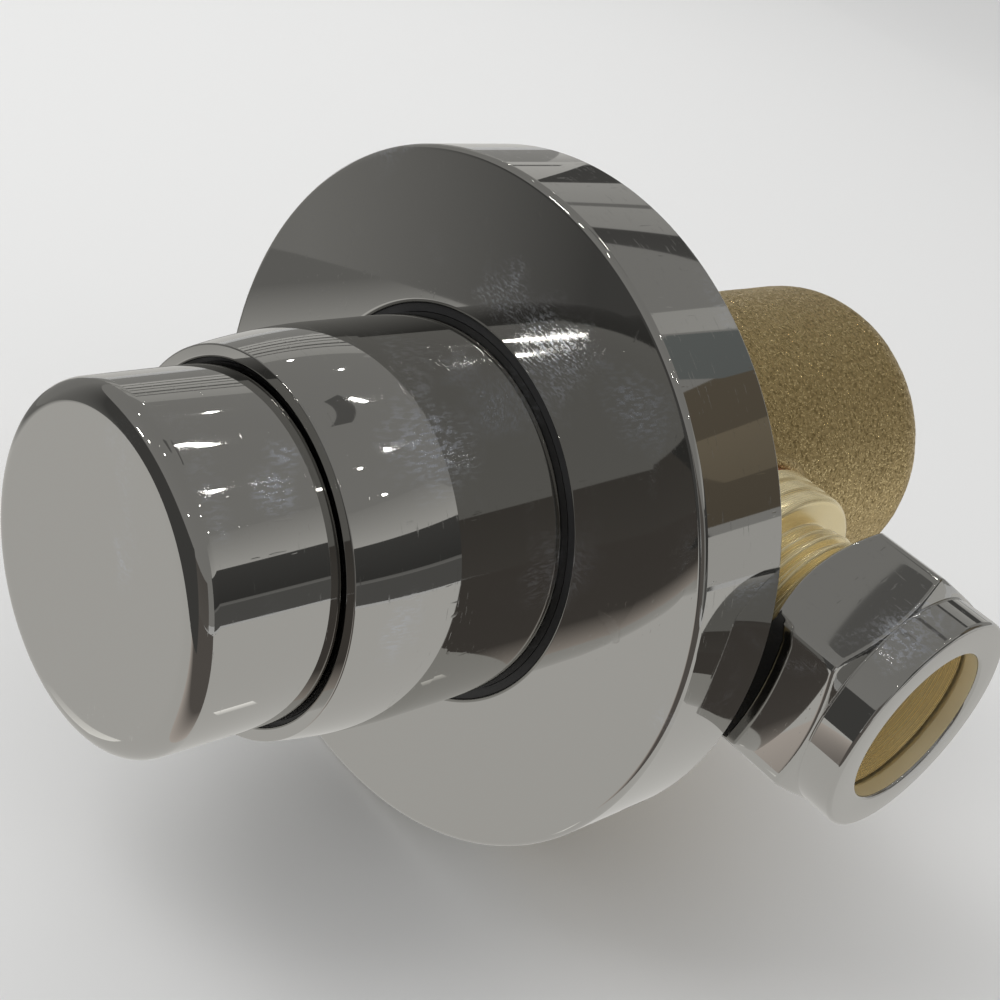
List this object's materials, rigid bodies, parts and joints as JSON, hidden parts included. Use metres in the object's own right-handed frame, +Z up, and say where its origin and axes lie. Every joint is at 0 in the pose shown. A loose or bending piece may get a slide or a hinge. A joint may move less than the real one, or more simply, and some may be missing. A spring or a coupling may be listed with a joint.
{
  "type": "timed shower valve",
  "caption": "Concealed self-closing shower valve: chrome push button and wall flange, brass body, timing cartridge and compression connections.",
  "frame": {"origin": "on the valve axis, in the plane of the finished wall", "axes": "-Y out of the wall along the valve axis, towards the push button; +X along the pipe axis, towards the inlet; +Z up"},
  "size_m": [0.1168, 0.137, 0.09],
  "materials": {
    "chrome": "polished chrome plate",
    "cast_brass": "sand cast and tumbled",
    "bright_brass": "machined",
    "steel": "bright stainless",
    "rubber": "matt moulded",
    "black_plastic": "moulded",
    "acetal": "machined",
    "green_plastic": "moulded",
    "fibre": "pressed fibre"
  },
  "bodies": {
    "valve": {"valve_body": "cast_brass", "front_collar": "chrome", "collar_guide_ring": "black_plastic", "cartridge_head": "bright_brass", "head_o_ring": "rubber", "stem_bush": "acetal", "stem_seal": "rubber", "seal_retainer": "bright_brass", "cartridge_sleeve": "acetal", "sleeve_o_rings": "rubber", "return_spring": "steel", "sleeve_end_cap": "acetal", "metering_pin": "steel", "inlet_spigot": "bright_brass", "outlet_spigot": "bright_brass", "spigot_washers": "fibre", "inlet_strainer": "steel", "flow_restrictor": "green_plastic"},
    "button": {"push_button": "chrome", "button_hub": "black_plastic", "hub_screw": "steel", "valve_stem": "steel", "washer_holder": "bright_brass", "seat_washer": "rubber", "washer_nut": "bright_brass", "piston": "acetal", "lip_seal": "rubber", "piston_clip": "steel"},
    "flange": {"wall_flange": "chrome", "flange_ring_seal": "rubber", "flange_gasket": "rubber"},
    "inlet_ring": {"inlet_olive": "bright_brass"},
    "inlet_nut": {"inlet_nut": "chrome"},
    "outlet_ring": {"outlet_olive": "bright_brass"},
    "outlet_nut": {"outlet_nut": "chrome"}
  },
  "joints": [
    {"name": "button_push", "type": "slide", "parent": "valve", "child": "button", "axis": [0, 1, 0], "range_m": [0, 0.008], "stiffness_N_per_m": 900, "springref_m": -0.012, "deforming": ["return_spring"]},
    {"name": "flange_adjust", "type": "slide", "parent": "valve", "child": "flange", "axis": [0, -1, 0], "range_m": [0, 0.016]},
    {"name": "inlet_nut_travel", "type": "slide", "parent": "valve", "child": "inlet_ring", "axis": [1, 0, 0], "range_m": [0, 0.00544]},
    {"name": "inlet_nut_turn", "type": "hinge", "parent": "inlet_ring", "child": "inlet_nut", "pos_m": [0.05, 0.0189, 0], "axis": [-1, 0, 0], "range_deg": [0, 1080]},
    {"name": "outlet_nut_travel", "type": "slide", "parent": "valve", "child": "outlet_ring", "axis": [-1, 0, 0], "range_m": [0, 0.00544]},
    {"name": "outlet_nut_turn", "type": "hinge", "parent": "outlet_ring", "child": "outlet_nut", "pos_m": [-0.05, 0.0189, 0], "axis": [1, 0, 0], "range_deg": [0, 1080]}
  ],
  "couplings": [
    {"joint": "inlet_nut_turn", "follows": "inlet_nut_travel", "rad_per_m": 3463.8},
    {"joint": "outlet_nut_turn", "follows": "outlet_nut_travel", "rad_per_m": 3463.8}
  ]
}
